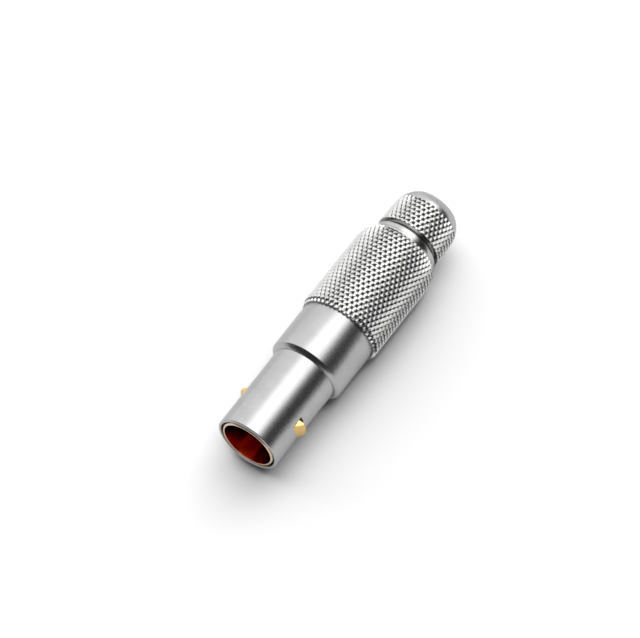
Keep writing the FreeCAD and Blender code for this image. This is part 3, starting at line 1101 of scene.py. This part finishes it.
@dataclass(frozen=True)
class FloorTone:
    """How the floor gives back light.

    Attributes:
        seen: share that it gives back to the camera.
        mirrored: share that the metal mirrors.
        lit: share that it gives back to what it lights in turn.
        reach: how far the painted contact shadow reaches from where the plug nearly touches, in metres.
        depth: how dark the painted contact shadow is.
        samples: rays that feel how near the plug is.
    """

    seen: float = 1.38
    mirrored: float = 0.92
    lit: float = 0.15
    reach: float = 0.002
    depth: float = 1.7
    samples: int = 16


@dataclass
class Studio:
    """Camera, floor and the light that the metal mirrors.

    Attributes:
        azimuth: the way the camera looks, in degrees.
        elevation: height of the camera above the horizon, in degrees.
        lens: focal length in millimetres.
        width: width in metres that the picture spans at the plug.
        shift: how far the aim lies from the plug's middle, to the right and up, in metres.
        clip: nearest and furthest that the camera sees, in metres.
        picture: width and height of the picture, in pixels.
        floor_size: side of the floor, in metres.
        floor_tone: how the floor gives back light.
        sky: brightness stops over the angle round the plug's axis, from straight up (0) towards
            -Y (positive) and +Y (negative), in degrees.
        mouth_panel: light in front of the mouth.
        cable_panel: light behind the cable end.
    """

    azimuth: float = -55.4
    elevation: float = 60.0
    lens: float = 350.0
    width: float = 0.0857
    shift: tuple[float, float] = (-0.00292, 0.00091)
    clip: tuple[float, float] = (0.01, 20)
    picture: tuple[int, int] = (640, 638)
    floor_size: float = 2.0
    floor_tone: FloorTone = FloorTone()
    sky: tuple[tuple[float, float], ...] = (
        (-180, 0.9), (-120, 1.0), (-75, 0.9), (-50, 1.0), (-31, 1.0), (-23, 1.3), (-13, 1.9), (14, 1.9),
        (22, 1.5), (31, 0.6), (38, 0.14), (47, 0.02), (72, 0.02), (80, 0.15), (89, 0.45), (180, 0.75))
    mouth_panel: Panel = Panel(0.015, full=-0.42, begin=-0.26)
    cable_panel: Panel = Panel(0.6, full=0.97, begin=0.86)

    def add_camera(self) -> None:
        """Put a long-lens camera where the photo was taken from."""
        turned, raised = math.radians(self.azimuth), math.radians(self.elevation)
        level = math.cos(raised)
        back = Vector((math.sin(turned) * level, -math.cos(turned) * level, math.sin(raised)))
        right = Vector((math.cos(turned), math.sin(turned), 0))
        aim = Vector((0, 0, AXIS_HEIGHT)) + right * self.shift[0] + back.cross(right) * self.shift[1]
        camera = bpy.data.cameras.new("camera")
        camera.lens = self.lens
        camera.clip_start, camera.clip_end = self.clip
        holder = bpy.data.objects.new("camera", camera)
        holder.location = aim + back * (self.width * self.lens / camera.sensor_width)
        holder.rotation_mode = "QUATERNION"
        holder.rotation_quaternion = (-back).to_track_quat("-Z", "Y")
        scene = bpy.context.scene
        scene.collection.objects.link(holder)
        scene.camera = holder
        scene.render.resolution_x, scene.render.resolution_y = self.picture

    def add_floor(self) -> None:
        """Lay a plain pale floor under the plug, with a painted contact shadow where the plug nearly touches
        it.
        """
        bpy.ops.object.select_all(action="DESELECT")
        bpy.ops.mesh.primitive_plane_add(size=self.floor_size)
        floor = named("floor")
        tone = self.floor_tone
        material, nodes = new_material("pale_floor")
        path = nodes.add("ShaderNodeLightPath")
        # Painted shadow: the floor's colour for the camera darkens where the plug comes near.
        openness = nodes.add("ShaderNodeAmbientOcclusion", {"samples": tone.samples}, {
            "Distance": tone.reach})
        painted_contact_shadow = nodes.maths("POWER", openness.outputs["AO"], tone.depth)
        indirect = nodes.add("ShaderNodeMapRange", inputs={
            "Value": path.outputs["Diffuse Depth"], "To Min": tone.mirrored, "To Max": tone.lit})
        given = nodes.blend(path.outputs["Is Camera Ray"], indirect.outputs["Result"],
                            nodes.maths("MULTIPLY", painted_contact_shadow, tone.seen))
        shader = nodes.add("ShaderNodeBsdfDiffuse", inputs={"Color": given})
        nodes.add("ShaderNodeOutputMaterial", inputs={"Surface": shader.outputs["BSDF"]})
        floor.data.materials.append(material)

    def add_light(self) -> None:
        """Light everything from a soft sky that is banded round the plug's axis."""
        world = bpy.data.worlds.new("studio")
        world.use_nodes = True
        bpy.context.scene.world = world
        nodes = NodeTree(world.node_tree)
        direction = nodes.add("ShaderNodeTexCoord").outputs["Generated"]
        split = nodes.add("ShaderNodeSeparateXYZ", inputs={"Vector": direction})
        side = nodes.maths("MULTIPLY", split.outputs["Y"], -1.0)
        angle = nodes.maths("ARCTAN2", side, split.outputs["Z"])
        strength = self.add_ramp(nodes, angle)
        for panel in (self.mouth_panel, self.cable_panel):
            share = nodes.add("ShaderNodeMapRange", {"interpolation_type": "SMOOTHSTEP"}, {
                "Value": split.outputs["X"], "From Min": panel.begin, "From Max": panel.full})
            strength = nodes.blend(share.outputs["Result"], strength, panel.brightness)
        light = nodes.add("ShaderNodeBackground", inputs={"Color": (1, 1, 1, 1), "Strength": strength})
        nodes.add("ShaderNodeOutputWorld", inputs={"Surface": light.outputs["Background"]})

    def add_ramp(self, nodes: NodeTree, angle: bpy.types.NodeSocket) -> bpy.types.NodeSocket:
        """Map the angle round the plug's axis to a brightness, through the stops of the sky.

        Args:
            nodes: tree to add to.
            angle: socket of the angle, in radians between minus and plus pi.

        Returns:
            The brightness.
        """
        share = nodes.add("ShaderNodeMapRange", inputs={
            "Value": angle, "From Min": -math.pi, "From Max": math.pi})
        ramp = nodes.add("ShaderNodeValToRGB", inputs={"Fac": share.outputs["Result"]})
        elements = ramp.color_ramp.elements
        while len(elements) < len(self.sky):
            elements.new(0.5)
        brightest = max(brightness for _, brightness in self.sky)
        for element, (degrees, brightness) in zip(elements, self.sky):
            element.position = (math.radians(degrees) + math.pi) / (2 * math.pi)
            element.color = (brightness / brightest,) * 3 + (1,)
        return nodes.maths("MULTIPLY", ramp.outputs["Color"], brightest)

    def build(self) -> None:
        """Set up camera, floor, light and the plain view transform."""
        self.add_camera()
        self.add_floor()
        self.add_light()
        bpy.context.scene.render.engine = "CYCLES"
        bpy.context.scene.view_settings.view_transform = "Standard"


def main() -> None:
    """Build the plug and its surroundings."""
    logging.basicConfig(level=logging.INFO)
    palette = Palette()
    for assembly in (Shell(), Latch(), Body(), Nut(), Inside()):
        for piece in assembly.build(palette):
            LOG.info("%s: %s", type(assembly).__name__, piece.name)
    Studio().build()


if __name__ == "__main__":
    main()
